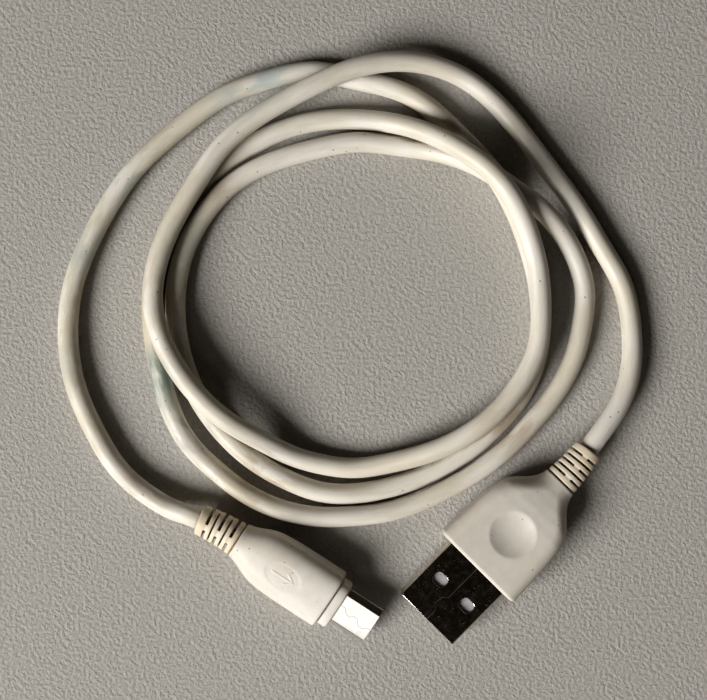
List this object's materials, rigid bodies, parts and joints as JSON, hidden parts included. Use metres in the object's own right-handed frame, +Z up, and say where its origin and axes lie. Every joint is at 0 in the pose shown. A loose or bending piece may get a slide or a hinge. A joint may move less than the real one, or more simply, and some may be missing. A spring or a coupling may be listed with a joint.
{
  "type": "charging cable",
  "caption": "Charging and data cable, loosely wound: a full-size USB plug and a micro-B plug joined by a thin round off-white lead.",
  "frame": {"origin": "on the surface that the cable lies on, below the middle of the full-size USB plug", "axes": "+X the way the full-size USB plug is pushed in, +Z up from the surface"},
  "size_m": [0.0901, 0.0963, 0.0106],
  "materials": {
    "plated_steel": "bright nickel plate, slightly scuffed",
    "insulator": "white, smooth",
    "contact_gold": "gold plated",
    "grip_plastic": "soft off-white plastic, a little dirty",
    "cream_plastic": "soft cream plastic",
    "jacket_plastic": "smooth off-white jacket with faint blue smudges",
    "inner_mould": "milky hard plastic",
    "lead_red": "insulation",
    "lead_white": "insulation",
    "lead_green": "insulation",
    "lead_black": "insulation"
  },
  "bodies": {
    "cable": {"usb_a_shell": "plated_steel", "usb_a_insulator": "insulator", "usb_a_contact_power": "contact_gold", "usb_a_contact_data_minus": "contact_gold", "usb_a_contact_data_plus": "contact_gold", "usb_a_contact_ground": "contact_gold", "usb_a_shield_can": "plated_steel", "usb_a_crimp_ring": "plated_steel", "usb_a_inner_mould": "inner_mould", "usb_a_lead_red": "lead_red", "usb_a_lead_white": "lead_white", "usb_a_lead_green": "lead_green", "usb_a_lead_black": "lead_black", "usb_a_jacket_end": "jacket_plastic", "usb_a_grip": "grip_plastic", "usb_a_strain_relief": "cream_plastic", "cable_jacket": "jacket_plastic", "micro_b_shell": "plated_steel", "micro_b_insulator": "insulator", "micro_b_inner_mould": "cream_plastic", "micro_b_crimp_ring": "plated_steel", "micro_b_lead_red": "lead_red", "micro_b_lead_white": "lead_white", "micro_b_lead_green": "lead_green", "micro_b_lead_black": "lead_black", "micro_b_jacket_end": "jacket_plastic", "micro_b_grip": "cream_plastic", "micro_b_strain_relief": "cream_plastic"},
    "latch_left": {"micro_b_latch_left": "plated_steel"},
    "latch_right": {"micro_b_latch_right": "plated_steel"},
    "contact_springs": {"micro_b_contact_power": "contact_gold", "micro_b_contact_data_minus": "contact_gold", "micro_b_contact_data_plus": "contact_gold", "micro_b_contact_identification": "contact_gold", "micro_b_contact_ground": "contact_gold"}
  },
  "joints": [
    {"name": "latch_left_press", "type": "hinge", "parent": "cable", "child": "latch_left", "pos_m": [0.02594, -0.01439, 0.00398], "axis": [0.9575, 0.2, -0.2079], "range_deg": [0, 4], "stiffness_Nm_per_rad": 0.1},
    {"name": "latch_right_press", "type": "hinge", "parent": "cable", "child": "latch_right", "pos_m": [0.03082, -0.01337, 0.00292], "axis": [0.9575, 0.2, -0.2079], "range_deg": [0, 4], "stiffness_Nm_per_rad": 0.1},
    {"name": "contact_lift", "type": "hinge", "parent": "cable", "child": "contact_springs", "pos_m": [0.02814, -0.01219, 0.00398], "axis": [0.9575, 0.2, -0.2079], "range_deg": [0, 2.4], "stiffness_Nm_per_rad": 0.1}
  ]
}
